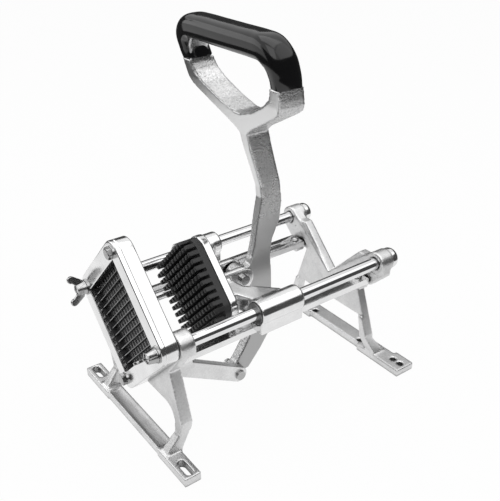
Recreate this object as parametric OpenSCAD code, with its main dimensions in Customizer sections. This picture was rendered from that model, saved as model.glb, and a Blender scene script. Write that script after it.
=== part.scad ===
// Lever-operated french fry cutter on two cast stands.
// Row frame: +X runs along the guide rods from the blade end to the back, +Z is up, y = 0 is the middle.
// The origin is midway between the front foot's two slots, on the surface that it stands on.

/* [Blade] */
// Number of cells along each side of the blade
cells = 12; // [8:1:14]
// Distance from one knife to the next
pitch = 7; // [6:0.25:8]
// Thickness of one knife
knife_t = 0.65; // [0.4:0.05:1.2]
// Depth of one layer of knives along the rods
knife_d = 4.6; // [3:0.2:5]
// Length of a knife's end that sits in its clamp bar
knife_seat = 3; // [2:0.5:4]
// Gap between a knife and the slot that holds it
knife_fit = 0.05; // [0.02:0.01:0.1]
// Thickness of a clamp bar beside the opening
bar_t = 5; // [4:0.5:6]
// Gap between a clamp bar and the pocket that holds it
bar_fit = 0.1; // [0.05:0.05:0.3]

/* [Head] */
// Width of the bezel's face around the opening
face_w = 15.75; // [14:0.25:18]
// Corner radius of the bezel and the blade housing
head_r = 15; // [8:0.5:20]
// Thickness of the bezel
bezel_t = 4; // [3:0.5:6]
// Thickness of the blade housing
head_t = 12.5; // [12.5:0.5:16]
// Thickness of the housing's lip behind the clamp bars
lip_t = 2; // [1.5:0.5:3]
// Distance from the front foot's slots forward to the bezel's face
bezel_lead = 8.5; // [6:0.5:12]
// Height of the rods and of the opening's centre
axis_z = 124.2; // [118:0.2:140]
// Height of a corner bolt above or below the opening's centre, past the opening's corner
bolt_off = 6.6; // [5.6:0.2:8]
// Radius of the corner bolts' shanks
bolt_r = 3; // [2.5:0.5:3]
// Width across the flats of the corner bolts' heads
bolt_af = 10; // [9:0.5:11]
// Height of the corner bolts' heads
bolt_h = 4; // [3:0.5:5]
// Thickness of the washers in front of the bezel
washer_t = 1.2; // [0.8:0.2:2]

/* [Rods] */
// Radius of the guide rods
rod_r = 6; // [5:0.5:7]
// Distance from the opening's side corner out to a rod's axis
rod_off = 6.9; // [6.4:0.1:8]
// Radius of the rods' threaded ends
stud_r = 4; // [3:0.5:4.5]
// Clearance around threads, seats and plain holes
seat_fit = 0.05; // [0.02:0.01:0.1]
// Running clearance of the sleeves and pivots
run_fit = 0.08; // [0.03:0.01:0.1]
// Length of a rod's threaded end in front of the bezel
stud_out = 9; // [8:0.5:12]
// Depth that a rod's shoulder sits in front of the front boss's back
shoulder_in = 4; // [2:0.5:6]
// Length of a wing nut's hub
wing_hub_l = 9; // [8:0.5:12]
// Radius of a wing nut's hub
wing_hub_r = 6; // [5.5:0.5:7]
// Reach of a wing's tip from the rod's axis
wing_reach = 14.5; // [11:0.5:16]
// Thickness of a wing
wing_t = 2.6; // [2:0.2:4]
// Turn of the near wing nut about its stud
wing_turn_near = 140; // [0:5:175]
// Turn of the far wing nut about its stud
wing_turn_far = 85; // [0:5:175]
// Radius of the domed caps at the rods' back ends
cap_r = 10.5; // [9:0.5:12]
// Length of a domed cap
cap_l = 9.5; // [8:0.5:12]

/* [Front stand] */
// Thickness of the stands along the rods
stand_t = 12; // [10:0.5:14]
// Distance from the front stand's face to the back stand's face
stand_span = 229.5; // [215:0.5:260]
// Radius of the front bosses
front_boss_r = 12.5; // [11:0.5:13]
// Length of the front bosses
front_boss_l = 14; // [13:0.5:18]
// Depth of a front boss's square side below the rod
boss_drop = 7; // [5:0.5:12]
// Clearance between the potato passage and the front stand
passage_fit = 1; // [0.8:0.1:2]
// Half length of the front foot
front_foot_y = 97.7; // [94:0.1:104]
// Thickness of the front foot's pads
front_foot_t = 9.5; // [8:0.5:12]
// Depth of the front foot along the rods
front_foot_x = 17; // [15:0.5:20]
// Depth of the hollow along the front foot's middle
foot_scoop = 2; // [1:0.2:2.4]
// Length of a slot in the front foot
slot_l = 20.4; // [16:0.2:22]
// Width of a slot in the front foot
slot_w = 7; // [6:0.5:8]
// Distance from a slot's centre to the end of the foot
slot_in = 13.2; // [12:0.2:15]
// How far the front legs bend forward at the foot
front_bend = 14.5; // [10:0.5:15]

/* [Back stand] */
// Radius of the back bosses
rear_boss_r = 11.5; // [10:0.5:13]
// Length of the back bosses
rear_boss_l = 16; // [14:0.5:18]
// Half length of the back foot
rear_foot_y = 100.8; // [97:0.1:106]
// Thickness of the back foot's pads
rear_foot_t = 8.2; // [7:0.2:11]
// Depth of the back foot's pads along the rods
rear_foot_x = 24.3; // [20:0.1:28]
// Depth of the back foot's middle along the rods
rear_foot_mid = 17; // [14:0.5:20]
// How far the back foot's middle line lies behind the back stand's face
rear_foot_back = 21.85; // [18:0.05:24]
// Radius of the back foot's holes
foot_hole_r = 3.25; // [2.5:0.25:4]
// Distance of the outer hole from the back foot's end
hole_outer_in = 7.7; // [6:0.1:9]
// Distance from the outer hole to the next hole
hole_step = 9.7; // [8.5:0.1:11]
// Distance of the inner hole from the middle
hole_inner_y = 37.2; // [30:0.1:42]
// How far the inner hole lies in front of the outer holes
hole_inner_x = 4; // [0:0.5:5]
// Width of the V arms
arm_w = 14.6; // [12:0.2:16]
// Height of the V's inside corner below the rods
arm_low = 39.6; // [36:0.2:42]
// How far the web lies behind the arms' faces
web_in = 2; // [0:0.5:3]
// How far the back legs bend back at the foot
rear_bend = 13.5; // [10:0.5:15]

/* [Rails] */
// Width of a rail
rail_w = 20; // [17:0.5:20]
// Thickness of a rail
rail_t = 6; // [4:0.5:8]
// Distance from the middle to a rail's inner edge, past the pusher plate
rail_gap = 0.8; // [0.5:0.1:2]
// Depth of a rail's top below the rods' axis
rail_drop = 20; // [19.8:0.2:22]
// Length of a rail's seat on a stand
lug_l = 11; // [9:0.5:13]
// Height of a rail's seat
lug_h = 6.2; // [5:0.2:8]
// Radius of the rail screws
screw_r = 2.5; // [2:0.5:3]
// Radius of the rail screws' heads
screw_head_r = 4.4; // [4:0.2:5]

/* [Pusher] */
// Width of a finger
finger_w = 4.4; // [3.6:0.1:5.2]
// Length of the fingers
finger_l = 9.7; // [9.5:0.1:12]
// Thickness of the pusher block behind the fingers
block_t = 6.5; // [5:0.5:10]
// Thickness of the plate behind the pusher block
plate_t = 8; // [6:0.5:10]
// Corner radius of the plate and the block
plate_r = 15; // [8:0.5:18]
// Distance from the plate's edge in to a pusher screw
screw_in = 12; // [9:0.5:14]
// Distance from the bezel's face to the plate's front at rest
plate_at = 84; // [82:0.5:110]

/* [Carriage] */
// Outer radius of the sleeves
sleeve_r = 12; // [10.5:0.5:12.5]
// Length of a sleeve
sleeve_l = 47; // [40:1:60]
// Distance from the plate's back to the sleeves' front
sleeve_back = 8; // [6:0.5:14]
// Wall of the bushes in the sleeves
bush_t = 4; // [2:0.5:4.5]
// Length of a bush
bush_l = 12; // [8:1:20]
// Gap between the sleeves' feet and the rails
rail_run = 0.3; // [0.3:0.1:1]
// Half width of the neck behind the plate
neck_y = 33; // [24:1:34]
// Thickness of the cross-beam, up and down
beam_t = 17; // [12:0.5:19]
// Height of the cross-beam's top above the rods' axis
beam_up = 6.8; // [4:0.2:8]
// Distance from the plate's back to the lever's pivot
pivot_back = 34; // [32:0.5:40]
// Thickness of one ear beside the lever
ear_t = 6; // [4:0.5:8]
// Radius of an ear's round end
ear_r = 12; // [9:0.5:13]
// Gap between an ear and the lever
ear_gap = 0.5; // [0.3:0.1:1]
// Radius of the pivot pins
pin_r = 4; // [3:0.5:5]
// Radius of the pivot pins' heads
pin_head_r = 5; // [4.5:0.5:7]

/* [Lever] */
// Thickness of the lever's lower part
lever_t = 12.4; // [10:0.2:14]
// Thickness of the lever's upper part
stem_t = 10; // [8:0.5:12]
// Height of the lower pivot above the surface
foot_pin_z = 15.5; // [14:0.5:18]
// How far the lower pivot lies in front of the upper pivot at rest
foot_pin_lead = 8.4; // [6:0.2:10]
// Radius of the lever's lower end
foot_eye_r = 7.2; // [7:0.1:9]
// Height of the hand loop's outer top
loop_top = 362; // [350:1:372]
// Half width of the hand loop's metal at the grip's ends
loop_y = 69.5; // [64:0.5:74]
// Thickness of the hand loop's sides
loop_side_t = 11.5; // [9:0.5:14]
// Depth of the hand loop, front to back
loop_d = 25.6; // [22:0.2:28]
// Thickness of the grip over the metal
grip_t = 2.4; // [1.6:0.2:3]
// Height of the grip, from its lower ends to the loop's top
grip_h = 42; // [34:1:50]

/* [Link] */
// Thickness of the link bar
link_t = 8.4; // [6:0.2:10]
// Half width of the link bar
link_r = 8.4; // [7.5:0.1:9]
// Gap between the link bar and the lever
link_gap = 0.4; // [0.3:0.1:0.8]
// Distance from the front stand's back face to the link's front pivot
link_pin_back = 11.5; // [10:0.5:14]
// Height of the link's front pivot
link_pin_z = 60; // [56:0.5:61]
// Radius of the bracket around the link's front pivot
bracket_r = 7; // [6.5:0.5:8]

/* [Hidden] */
$fn = 64;
eps = 0.5;
s2 = sqrt(2);
// blade and head, front to back
opening = cells * pitch;
open_h = opening / 2 * s2;
head_side = opening + 2 * face_w;
bezel_x = -bezel_lead;
head_x = bezel_x + bezel_t;
face_x = head_x + head_t;
bars_d = head_t - lip_t;
bar_len = (cells - 1) * pitch;
bolt_dz = open_h + bolt_off;
rod_y = open_h + rod_off;
// stands
front_back_x = face_x + stand_t;
boss_end_x = face_x + front_boss_l;
rear_x = face_x + stand_span;
rear_back_x = rear_x + stand_t;
rear_boss_x = rear_x + rear_boss_l;
rear_foot_cx = rear_x + rear_foot_back;
foot_in_x = front_foot_x / 2;
slot_y = front_foot_y - slot_in;
// rails
rail_z = axis_z - rail_drop - rail_t;
plate_h = (opening / 2) * s2;
rail_y = plate_h - rail_drop + rail_gap;
rail_mid = rail_y + rail_w / 2;
// pusher and carriage
plate_x = bezel_x + plate_at;
plate_back_x = plate_x + plate_t;
block_side = (cells - 1) * pitch + finger_w;
sleeve_x = plate_back_x + sleeve_back;
pivot_x = plate_back_x + pivot_back;
ear_in = lever_t / 2 + ear_gap;
ear_out = ear_in + ear_t;
// lever and link
foot_pin_x = pivot_x - foot_pin_lead;
link_in = lever_t / 2 + link_gap;
link_out = link_in + link_t;
link_x = front_back_x + link_pin_back;
loop_in_y = loop_y - loop_side_t;
grip_end_z = loop_top - grip_h;
loop_root = loop_top - 128;
stem_low = axis_z + 9.8;
wing_x0 = bezel_x - washer_t;

// a flat shape in Y and Z, drawn out along X
module yz(x0, len) {
    translate([x0, 0, 0])
        rotate([90, 0, 90])
            linear_extrude(height = len)
                children();
}

// a flat shape in X and Z, drawn out along Y
module xz(y0, len) {
    translate([0, y0 + len, 0])
        rotate([90, 0, 0])
            linear_extrude(height = len)
                children();
}

// a square with round corners, centred
module round_square(side, r) {
    square([side, side - 2 * r], center = true);
    square([side - 2 * r, side], center = true);
    for (a = [-1, 1])
        for (b = [-1, 1])
            translate([a * (side / 2 - r), b * (side / 2 - r)])
                circle(r = r);
}

// a square standing on its corner about the opening's centre
module on_corner() {
    translate([0, axis_z])
        rotate(45)
            children();
}

// a round bar along X
module along_x(x0, len, r) {
    translate([x0, 0, 0])
        rotate([0, 90, 0])
            cylinder(r = r, h = len);
}

// a round bar along Y
module along_y(y0, len, r) {
    translate([0, y0 + len, 0])
        rotate([90, 0, 0])
            cylinder(r = r, h = len);
}

// the two corner bolts' places
module at_bolts() {
    for (s = [-1, 1])
        translate([0, 0, axis_z + s * bolt_dz])
            children();
}

// the four pusher screws' places, one near the middle of each side of the plate
module at_plate_screws() {
    translate([0, 0, axis_z])
        for (t = [45:90:315])
            rotate([t, 0, 0])
                translate([0, opening / 2 - screw_in, 0])
                    children();
}

// the two rods' places
module at_rods() {
    for (s = [-1, 1])
        translate([0, s * rod_y, axis_z])
            children();
}

// ---- front stand
module front_leg_front() {
    // outside and window of the legs, seen along the rods
    difference() {
        polygon([
            [-64, 0], [64, 0], [64.5, front_foot_t + 2], [64.5, 27], [68.6, 40], [53.5, 90],
            [rod_y + front_boss_r - 2, axis_z - boss_drop + 2], [rod_y + front_boss_r - 2, axis_z - 1],
            [-rod_y - front_boss_r + 2, axis_z - 1], [-rod_y - front_boss_r + 2, axis_z - boss_drop + 2],
            [-53.5, 90], [-68.6, 40], [-64.5, 27], [-64.5, front_foot_t + 2]
        ]);
        translate([0, axis_z])
            rotate(45)
                square(opening + 2 * passage_fit, center = true);
        polygon([
            [-53, -eps], [-53, front_foot_t], [-55.3, 26.2], [-56.3, 39.2], [-54.6, 45.4], [-50.3, 50.4],
            [-44, axis_z - open_h - 12.5], [44, axis_z - open_h - 12.5], [50.3, 50.4], [54.6, 45.4],
            [56.3, 39.2], [55.3, 26.2], [53, front_foot_t], [53, -eps]
        ]);
    }
}

module front_leg_side() {
    polygon([
        [face_x, axis_z + rod_y], [face_x, 26], [face_x - front_bend, front_foot_t],
        [face_x - front_bend, 1], [face_x + 2, 1], [face_x + 2, front_foot_t],
        [front_back_x, 29], [front_back_x, axis_z + rod_y]
    ]);
}

module front_foot() {
    difference() {
        translate([-foot_in_x, -front_foot_y, 0])
            cube([front_foot_x, 2 * front_foot_y, front_foot_t]);
        // hollow along the middle
        translate([0, -49, front_foot_t - foot_scoop])
            rotate([-90, 0, 0])
                translate([0, -14, 0])
                    cylinder(r = 14, h = 98);
        translate([-foot_in_x - eps, -49, -eps])
            cube([eps + 1.1, 98, front_foot_t + 1]);
        for (s = [-1, 1]) {
            translate([0, s * slot_y, -eps])
                linear_extrude(height = front_foot_t + 1) {
                    square([slot_w, slot_l - slot_w], center = true);
                    for (t = [-1, 1])
                        translate([0, t * (slot_l - slot_w) / 2])
                            circle(r = slot_w / 2);
                }
        }
    }
}

module front_boss_flat() {
    translate([rod_y, axis_z])
        circle(r = front_boss_r);
    translate([rod_y - 6, axis_z - boss_drop])
        square([front_boss_r + 6, boss_drop]);
}

module rail_lugs(x0) {
    for (s = [-1, 1])
        translate([x0, s * rail_mid - rail_w / 2 + 3, rail_z - lug_h])
            cube([lug_l, rail_w - 6, lug_h]);
}

module rail_screw_holes(x0) {
    for (s = [-1, 1])
        translate([x0, s * rail_mid, rail_z - lug_h - eps])
            cylinder(r = screw_r + seat_fit, h = lug_h + rail_t + 1);
}

module front_stand() {
    color([0.78, 0.78, 0.78])
        difference() {
            union() {
                intersection() {
                    yz(face_x - front_bend, front_bend + stand_t)
                        front_leg_front();
                    xz(-rod_y - 30, 2 * rod_y + 60)
                        front_leg_side();
                }
                front_foot();
                // bosses, square on their lower outer side
                for (s = [0, 1])
                    mirror([0, s, 0])
                        yz(face_x, front_boss_l)
                            front_boss_flat();
                rail_lugs(front_back_x - eps);
                // bracket for the link
                xz(-lever_t / 2, lever_t) {
                    translate([link_x, link_pin_z])
                        circle(r = bracket_r);
                    polygon([
                        [front_back_x - eps, link_pin_z - bracket_r], [link_x, link_pin_z - bracket_r],
                        [link_x, link_pin_z + bracket_r - 2],
                        [front_back_x - eps, link_pin_z + bracket_r - 3]
                    ]);
                }
            }
            // rod seats and stud holes
            at_rods() {
                along_x(face_x + shoulder_in, front_boss_l, rod_r + seat_fit);
                along_x(face_x - eps, front_boss_l, stud_r + seat_fit);
            }
            at_bolts()
                along_x(face_x - eps, 4 + eps, bolt_r + seat_fit);
            rail_screw_holes(front_back_x + lug_l / 2);
            translate([link_x, 0, link_pin_z])
                along_y(-lever_t, 2 * lever_t, pin_r + seat_fit);
        }
}

// ---- back stand
module rear_leg_front() {
    difference() {
        polygon([
            [-66, 0], [66, 0], [66, rear_foot_t], [62.5, 22], [61, 33], [39, 95.4], [rod_y - 6, 95.4],
            [rod_y + rear_boss_r, axis_z - 12], [rod_y + rear_boss_r, axis_z],
            [rod_y - rear_boss_r, axis_z + 2], [-rod_y + rear_boss_r, axis_z + 2],
            [-rod_y - rear_boss_r, axis_z], [-rod_y - rear_boss_r, axis_z - 12], [-rod_y + 6, 95.4],
            [-39, 95.4], [-61, 33], [-62.5, 22], [-66, rear_foot_t]
        ]);
        polygon([
            [-52, -eps], [-52, rear_foot_t], [-51.2, 36.5], [-48.3, 53], [48.3, 53], [51.2, 36.5],
            [52, rear_foot_t], [52, -eps]
        ]);
        // open V above the arms
        translate([0, axis_z - arm_low])
            rotate(45)
                square(2 * rod_y);
    }
}

module rear_leg_side() {
    polygon([
        [rear_x, axis_z + rod_y], [rear_x, 30], [rear_x + rear_bend - 2.5, rear_foot_t],
        [rear_x + rear_bend - 2.5, 1], [rear_back_x + rear_bend, 1], [rear_back_x + rear_bend, rear_foot_t],
        [rear_back_x, 27], [rear_back_x, axis_z + rod_y]
    ]);
}

module arm_flat() {
    // one 45 degree arm, from the V's corner up to a boss
    w = arm_w * s2;
    polygon([
        [0, axis_z - arm_low - w], [rod_y - 6, axis_z - arm_low - w + rod_y - 6],
        [rod_y, axis_z], [rod_y - 8, axis_z + 8], [0, axis_z - arm_low]
    ]);
}

module rear_foot() {
    difference() {
        union() {
            translate([rear_foot_cx - rear_foot_mid / 2, -rear_foot_y, 0])
                cube([rear_foot_mid, 2 * rear_foot_y, rear_foot_t]);
            for (s = [-1, 1]) {
                translate([rear_foot_cx - rear_foot_x / 2, s > 0 ? 40 : -rear_foot_y, 0])
                    cube([rear_foot_x / 2, rear_foot_y - 40, rear_foot_t]);
                translate([rear_foot_cx, s > 0 ? 77 : -rear_foot_y, 0])
                    cube([rear_foot_x / 2, rear_foot_y - 77, rear_foot_t]);
            }
        }
        for (s = [-1, 1]) {
            translate([rear_foot_cx, s * (rear_foot_y - hole_outer_in), -eps])
                cylinder(r = foot_hole_r, h = rear_foot_t + 1);
            translate([rear_foot_cx, s * (rear_foot_y - hole_outer_in - hole_step), -eps])
                cylinder(r = foot_hole_r, h = rear_foot_t + 1);
            translate([rear_foot_cx - hole_inner_x, s * hole_inner_y, -eps])
                cylinder(r = foot_hole_r, h = rear_foot_t + 1);
        }
    }
}

module rear_stand() {
    color([0.78, 0.78, 0.78])
        difference() {
            union() {
                intersection() {
                    union() {
                        yz(rear_x + web_in, stand_t + rear_bend)
                            rear_leg_front();
                        // legs stand proud of the web
                        intersection() {
                            yz(rear_x, stand_t + rear_bend)
                                rear_leg_front();
                            for (s = [-1, 1])
                                translate([rear_x, s > 0 ? 47 : -80, 0])
                                    cube([stand_t + rear_bend, 33, 53]);
                        }
                    }
                    xz(-rod_y - 30, 2 * rod_y + 60)
                        rear_leg_side();
                }
                yz(rear_x, stand_t)
                    arm_flat();
                yz(rear_x, stand_t)
                    mirror([1, 0])
                        arm_flat();
                rear_foot();
                at_rods()
                    along_x(rear_x, rear_boss_l, rear_boss_r);
                rail_lugs(rear_x - lug_l + web_in + eps);
            }
            at_rods()
                along_x(rear_x - eps, rear_boss_l + 1, rod_r + seat_fit);
            rail_screw_holes(rear_x - lug_l / 2);
        }
}

// ---- blade end
module bar_places(fit, seat) {
    // four places for clamp bars around the opening
    for (a = [0, 90, 180, 270])
        rotate(a)
            translate([opening / 2 + (bar_t + fit) / 2, 0])
                square([bar_t + fit, bar_len + 2 * seat + 2 * fit], center = true);
}

module blade_housing() {
    color([0.8, 0.8, 0.8])
        difference() {
            yz(head_x, head_t)
                difference() {
                    on_corner()
                        round_square(head_side, head_r);
                    on_corner()
                        square(opening, center = true);
                }
            yz(head_x - eps, bars_d + eps)
                on_corner()
                    bar_places(bar_fit, 3);
            at_rods()
                along_x(head_x - eps, head_t + 1, stud_r + seat_fit);
            at_bolts()
                along_x(head_x - eps, head_t + 1, bolt_r + seat_fit);
        }
}

module bezel() {
    color([0.86, 0.86, 0.86])
        difference() {
            yz(bezel_x, bezel_t)
                difference() {
                    on_corner()
                        round_square(head_side, head_r);
                    on_corner()
                        square(opening, center = true);
                }
            at_rods()
                along_x(bezel_x - eps, bezel_t + 1, stud_r + seat_fit);
            at_bolts()
                along_x(bezel_x - eps, bezel_t + 1, bolt_r + seat_fit);
        }
}

module knife_set(x0, fit, a) {
    // one layer of upright knives, turned by a about the rods' direction
    translate([x0, 0, axis_z])
        rotate([45 + a, 0, 0])
            for (i = [1:cells - 1])
                translate([0, -opening / 2 + i * pitch - knife_t / 2 - fit, -opening / 2 - knife_seat])
                    cube([knife_d, knife_t + 2 * fit, opening + 2 * knife_seat]);
}

module clamp_bars() {
    color([0.35, 0.35, 0.36])
        difference() {
            yz(head_x, bars_d - bar_fit)
                on_corner()
                    bar_places(0, 3);
            knife_set(head_x + 1, knife_fit, 0);
            knife_set(head_x + 1.2 + knife_d, knife_fit, 90);
        }
}

module knives_front() {
    color([0.6, 0.6, 0.62])
        knife_set(head_x + 1, 0, 0);
}

module knives_rear() {
    color([0.6, 0.6, 0.62])
        knife_set(head_x + 1.2 + knife_d, 0, 90);
}

module bezel_bolts() {
    color([0.75, 0.75, 0.75])
        at_bolts() {
            along_x(bezel_x - washer_t, washer_t + bezel_t + head_t + 3, bolt_r);
            translate([bezel_x - washer_t - bolt_h, 0, 0])
                rotate([0, 90, 0])
                    cylinder(r = bolt_af / sqrt(3), h = bolt_h, $fn = 6);
        }
}

module washer(x0, bore, outer) {
    difference() {
        along_x(x0, washer_t, outer);
        along_x(x0 - eps, washer_t + 1, bore);
    }
}

module bolt_washers() {
    color([0.7, 0.7, 0.7])
        at_bolts()
            washer(bezel_x - washer_t, bolt_r + seat_fit, bolt_r + 3);
}

module wing_washers() {
    color([0.7, 0.7, 0.7])
        at_rods()
            washer(bezel_x - washer_t, stud_r + seat_fit, stud_r + 3.6);
}

module wing_nut() {
    difference() {
        union() {
            rotate([0, -90, 0])
                rotate_extrude()
                    polygon([[0, 0], [wing_hub_r + 1, 0], [wing_hub_r, 3], [wing_hub_r - 1, wing_hub_l],
                        [0, wing_hub_l]]);
            for (s = [-1, 1])
                translate([0, 0, 0])
                    xz(-wing_t / 2, wing_t)
                        scale([1, s])
                            wing_flat();
        }
        along_x(-wing_hub_l - eps, wing_hub_l + 1, stud_r + run_fit);
    }
}

module wing_flat() {
    // one wing, flaring forward and out, with a round tip
    tip_x = -wing_hub_l - 3.5;
    polygon([[-1, wing_hub_r - 1], [-2, wing_hub_r + 2.5], [tip_x + 2.5, wing_reach],
    [tip_x - 3, wing_reach - 3],
        [-wing_hub_l + 0.5, wing_hub_r - 2]]);
    translate([tip_x, wing_reach - 2.8])
        circle(r = 3.6);
}

module wing_nut_near() {
    color([0.78, 0.78, 0.78])
        translate([wing_x0, -rod_y, axis_z])
            rotate([wing_turn_near - 90, 0, 0])
                wing_nut();
}

module wing_nut_far() {
    color([0.78, 0.78, 0.78])
        translate([wing_x0, rod_y, axis_z])
            rotate([wing_turn_far - 90, 0, 0])
                wing_nut();
}

// ---- rods and rails
module rod() {
    along_x(bezel_x - stud_out, stud_out + bezel_t + head_t + shoulder_in + 1, stud_r);
    along_x(face_x + shoulder_in, rear_boss_x - face_x - shoulder_in, rod_r);
    along_x(rear_boss_x - 1, cap_l - 3, stud_r);
}

module rod_near() {
    color([0.85, 0.85, 0.86])
        translate([0, -rod_y, axis_z])
            rod();
}

module rod_far() {
    color([0.85, 0.85, 0.86])
        translate([0, rod_y, axis_z])
            rod();
}

module rod_caps() {
    color([0.82, 0.82, 0.82])
        at_rods()
            difference() {
                translate([rear_boss_x, 0, 0])
                    rotate([0, 90, 0])
                        rotate_extrude()
                            polygon([[0, 0], [cap_r, 0], [cap_r, cap_l * 0.55], [cap_r - 1.2, cap_l * 0.8],
                                [cap_r - 3.6, cap_l * 0.96], [cap_r - 6, cap_l], [0, cap_l]]);
                along_x(rear_boss_x - eps, cap_l - 2.5, stud_r + seat_fit);
            }
}

module rail() {
    difference() {
        translate([front_back_x, rail_y, rail_z])
            cube([rear_x - front_back_x, rail_w, rail_t]);
        for (x = [front_back_x + lug_l / 2, rear_x - lug_l / 2])
            translate([x, rail_mid, rail_z - eps])
                cylinder(r = screw_r + seat_fit, h = rail_t + 1);
    }
}

module rail_far() {
    color([0.8, 0.8, 0.8])
        rail();
}

module rail_near() {
    color([0.8, 0.8, 0.8])
        mirror([0, 1, 0])
            rail();
}

module rail_screws() {
    color([0.75, 0.75, 0.75])
        for (x = [front_back_x + lug_l / 2, rear_x - lug_l / 2])
            for (s = [-1, 1])
                translate([x, s * rail_mid, rail_z + rail_t])
                    difference() {
                        union() {
                            translate([0, 0, -rail_t - lug_h + 1])
                                cylinder(r = screw_r, h = rail_t + lug_h - 0.5);
                            rotate_extrude()
                                polygon([[0, 0], [screw_head_r, 0], [screw_head_r, 1],
                                [screw_head_r - 1, 2.2],
                                    [screw_head_r - 2.4, 2.8], [0, 2.8]]);
                        }
                        for (a = [0, 90])
                            rotate(a)
                                translate([-2.2, -0.4, 1.6])
                                    cube([4.4, 0.8, 2]);
                    }
}

// ---- carriage
module beam_top() {
    // the cross-beam seen from above
    polygon([
        [plate_back_x, -neck_y - 3], [plate_back_x + 6, -neck_y - 5], [sleeve_x + 4, -rod_y + 16],
        [sleeve_x + 5, -rod_y], [sleeve_x + sleeve_l - 4, -rod_y], [sleeve_x + sleeve_l - 10, -rod_y + 13],
        [sleeve_x + 26, -42], [sleeve_x + 13, -30], [sleeve_x + 10, -ear_out],
        [sleeve_x + 10, ear_out], [sleeve_x + 13, 30], [sleeve_x + 26, 42],
        [sleeve_x + sleeve_l - 10, rod_y - 13], [sleeve_x + sleeve_l - 4, rod_y], [sleeve_x + 5, rod_y],
        [sleeve_x + 4, rod_y - 16], [plate_back_x + 6, neck_y + 5], [plate_back_x, neck_y + 3]
    ]);
}

module carriage() {
    color([0.8, 0.8, 0.8])
        difference() {
            union() {
                yz(plate_x, plate_t)
                    on_corner()
                        round_square(opening, plate_r);
                translate([0, 0, axis_z + beam_up - beam_t])
                    linear_extrude(height = beam_t)
                        beam_top();
                at_rods()
                    along_x(sleeve_x, sleeve_l, sleeve_r);
                for (s = [-1, 1])
                    translate([sleeve_x, s * rod_y - 9, rail_z + rail_t + rail_run])
                        cube([sleeve_l, 18, rail_drop - rail_run]);
                // ears beside the lever
                for (y0 = [-ear_out, ear_in])
                    xz(y0, ear_t) {
                        translate([pivot_x, axis_z])
                            circle(r = ear_r);
                        translate([plate_back_x - 1, axis_z - ear_r])
                            square([pivot_x - plate_back_x + 1, 2 * ear_r]);
                    }
            }
            at_rods() {
                along_x(sleeve_x - eps, sleeve_l + 1, rod_r + 1);
                along_x(sleeve_x - eps, bush_l + eps, rod_r + bush_t + seat_fit);
                along_x(sleeve_x + sleeve_l - bush_l, bush_l + eps, rod_r + bush_t + seat_fit);
            }
            translate([pivot_x, 0, axis_z])
                along_y(-ear_out - eps, 2 * ear_out + 1, pin_r + seat_fit);
            // holes for the pusher's screws
            at_plate_screws()
                along_x(plate_x - eps, plate_t + 1, screw_r + seat_fit);
        }
}

module bushes() {
    color([0.62, 0.55, 0.4])
        at_rods()
            for (x = [sleeve_x - 1, sleeve_x + sleeve_l - bush_l])
                difference() {
                    along_x(x, bush_l + 1, rod_r + bush_t);
                    along_x(x - eps, bush_l + 2, rod_r + run_fit);
                }
}

module pusher_block() {
    color([0.08, 0.08, 0.09])
        difference() {
            yz(plate_x - block_t - finger_l, block_t + finger_l)
                on_corner()
                    round_square(block_side, plate_r - 2);
            translate([plate_x - block_t - finger_l, 0, axis_z])
                for (t = [45, 135])
                    rotate([t, 0, 0])
                        for (i = [1:cells - 1])
                            translate([-eps, -opening / 2 + i * pitch - (pitch - finger_w) / 2, -opening])
                                cube([finger_l + eps, pitch - finger_w, 2 * opening]);
            at_plate_screws()
                along_x(plate_x - 5, 6, screw_r + seat_fit);
        }
}

module pusher_screws() {
    color([0.7, 0.7, 0.7])
        at_plate_screws() {
            along_x(plate_x - 4.5, plate_t + 5, screw_r);
            along_x(plate_back_x, 2.6, screw_head_r);
        }
}

module clevis_pin() {
    color([0.76, 0.76, 0.76])
        translate([pivot_x, 0, axis_z]) {
            along_y(-ear_out - 0.5, 2 * ear_out + 5, pin_r);
            along_y(-ear_out - 3, 3, pin_head_r);
        }
}

module clevis_clip() {
    color([0.55, 0.55, 0.56])
        translate([pivot_x, 0, axis_z])
            difference() {
                along_y(ear_out, 1.6, pin_r + 3);
                along_y(ear_out - eps, 3, pin_r + seat_fit);
            }
}

// ---- lever
module lever_low() {
    // the lever's lower arm from the side, from its eye up past the pivot
    a = pivot_x - 117.5;
    translate([foot_pin_x, foot_pin_z])
        circle(r = foot_eye_r);
    translate([pivot_x, axis_z])
        circle(r = ear_r - 1.5);
    polygon([
        [foot_pin_x - 2, foot_pin_z + 2], [a + 113.2, 25.3], [a + 121.4, 37.2],
        [a + 129.7, 50.5], [a + 131, 64], [a + 130.5, axis_z - 12], [a + 129, axis_z - 8],
        [pivot_x, axis_z - 9.5],
        [pivot_x, axis_z + 8.5], [a + 127, axis_z + 5.5], [a + 131.2, axis_z + 7.5], [a + 132.8, 138],
        [a + 155, 138], [a + 156, 118], [a + 156.5, 98], [a + 156.5, 56], [a + 154.6, 47],
        [a + 142.5, 29.7], [a + 126.5, 11.4], [foot_pin_x + foot_eye_r * 0.5, foot_pin_z - foot_eye_r * 0.8]
    ]);
}

module stem_side() {
    // the bent stem from the side
    a = pivot_x - 117.5;
    k = (loop_root - stem_low) / 100;
    polygon([
        [a + 132.5, stem_low], [a + 137, stem_low + 18 * k], [a + 141.5, stem_low + 47 * k],
        [a + 145, stem_low + 64 * k], [a + 144, stem_low + 76 * k], [a + 139, stem_low + 92 * k],
        [a + 136.5, loop_root], [a + 160.6, loop_root], [a + 167, stem_low + 76 * k],
        [a + 169.2, stem_low + 55 * k], [a + 166.8, stem_low + 36 * k], [a + 158, stem_low + 18 * k],
        [a + 154.9, stem_low]
    ]);
}

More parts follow.
